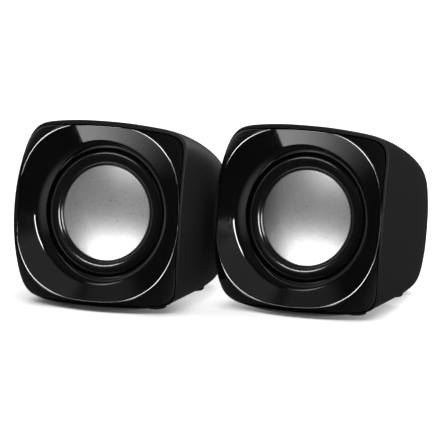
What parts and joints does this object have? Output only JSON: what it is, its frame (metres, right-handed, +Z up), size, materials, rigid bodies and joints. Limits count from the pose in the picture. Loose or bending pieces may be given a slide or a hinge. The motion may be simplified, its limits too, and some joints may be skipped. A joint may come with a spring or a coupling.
{
  "type": "desktop speakers",
  "caption": "Two small tilted pillow-shaped desktop speakers, matt black shells, gloss front bezels with conical bowls, silver dome drivers, rear volume knob and cables.",
  "frame": {"origin": "on the desk plane, midway between the two driver axes", "axes": "+Z up, the fronts face -Y, +X towards the active speaker on the viewer's right"},
  "size_m": [0.1546, 0.1767, 0.0771],
  "materials": {
    "matt_black_shell": "fine matt moulded texture",
    "matt_black_cover": "matt moulded",
    "gloss_black": "piano gloss",
    "black_screw": "black oxide",
    "foot_rubber": "matt",
    "basket_steel": "black painted pressed steel",
    "gasket_foam": "fine cellular",
    "surround_rubber": "satin",
    "silver_cap": "satin metallic",
    "cone_paper": "pulp",
    "former_film": "polyimide film",
    "copper_wire": "enamelled copper",
    "spider_cloth": "resin-treated weave",
    "zinc_steel": "zinc plated",
    "ferrite": "ground ferrite",
    "zinc_screw": "zinc plated",
    "phenolic_board": "phenolic",
    "lug_brass": "tinned brass",
    "lead_wire": "PVC",
    "grommet_rubber": "matt",
    "circuit_board": "solder mask",
    "chip_body": "moulded",
    "capacitor_sleeve": "PVC sleeve",
    "pot_body": "zinc die-cast",
    "shaft_metal": "turned",
    "knob_plastic": "satin moulded",
    "cable_jacket": "satin PVC",
    "plug_plastic": "satin PVC",
    "plug_metal": "nickel plated",
    "insert_plastic": "moulded",
    "pin_metal": "nickel plated",
    "tie_plastic": "satin"
  },
  "bodies": {
    "right_speaker": {"amplifier_board": "circuit_board", "amplifier_capacitors": "capacitor_sleeve", "amplifier_chip": "chip_body", "audio_cable": "cable_jacket", "audio_plug_grip": "plug_plastic", "audio_plug_pin": "pin_metal", "board_screws": "zinc_screw", "link_cable": "cable_jacket", "link_cable_tie": "tie_plastic", "right_cabinet_shell": "matt_black_shell", "right_cable_grommets": "grommet_rubber", "right_driver_basket": "basket_steel", "right_driver_gasket": "gasket_foam", "right_driver_leads": "lead_wire", "right_driver_screws": "zinc_screw", "right_driver_spider": "spider_cloth", "right_driver_surround": "surround_rubber", "right_front_bezel": "gloss_black", "right_magnet_top_plate": "zinc_steel", "right_magnet_yoke": "zinc_steel", "right_rear_cover": "matt_black_cover", "right_rear_cover_screws": "black_screw", "right_ring_magnet": "ferrite", "right_rubber_feet": "foot_rubber", "right_terminal_board": "phenolic_board", "right_terminal_lugs": "lug_brass", "signal_cable_tie": "tie_plastic", "usb_cable": "cable_jacket", "usb_plug_grip": "plug_plastic", "usb_plug_insert": "insert_plastic", "usb_plug_shell": "plug_metal", "volume_potentiometer": "pot_body"},
    "left_speaker": {"left_cabinet_shell": "matt_black_shell", "left_cable_grommet": "grommet_rubber", "left_driver_basket": "basket_steel", "left_driver_gasket": "gasket_foam", "left_driver_leads": "lead_wire", "left_driver_screws": "zinc_screw", "left_driver_spider": "spider_cloth", "left_driver_surround": "surround_rubber", "left_front_bezel": "gloss_black", "left_magnet_top_plate": "zinc_steel", "left_magnet_yoke": "zinc_steel", "left_rear_cover": "matt_black_cover", "left_rear_cover_screws": "black_screw", "left_ring_magnet": "ferrite", "left_rubber_feet": "foot_rubber", "left_terminal_board": "phenolic_board", "left_terminal_lugs": "lug_brass"},
    "right_cone_assembly": {"right_dome_cap": "silver_cap", "right_driver_cone": "cone_paper", "right_voice_coil_former": "former_film", "right_voice_coil": "copper_wire"},
    "left_cone_assembly": {"left_dome_cap": "silver_cap", "left_driver_cone": "cone_paper", "left_voice_coil_former": "former_film", "left_voice_coil": "copper_wire"},
    "volume_control": {"volume_knob": "knob_plastic", "volume_shaft": "shaft_metal"}
  },
  "joints": [
    {"name": "left_speaker_spacing", "type": "slide", "parent": "right_speaker", "child": "left_speaker", "axis": [-1, 0, 0], "range_m": [0, 0.15], "deforming": ["link_cable"]},
    {"name": "right_cone_travel", "type": "slide", "parent": "right_speaker", "child": "right_cone_assembly", "axis": [-0.0205, -0.9846, 0.1736], "range_m": [-0.0015, 0.0015], "deforming": ["right_driver_surround", "right_driver_spider"]},
    {"name": "left_cone_travel", "type": "slide", "parent": "left_speaker", "child": "left_cone_assembly", "axis": [0.0205, -0.9846, 0.1736], "range_m": [-0.0015, 0.0015], "deforming": ["left_driver_surround", "left_driver_spider"]},
    {"name": "volume_turn", "type": "hinge", "parent": "right_speaker", "child": "volume_control", "pos_m": [0.04869, 0.08153, 0.0308], "axis": [0.0205, 0.9846, -0.1736], "range_deg": [-150, 150]}
  ]
}
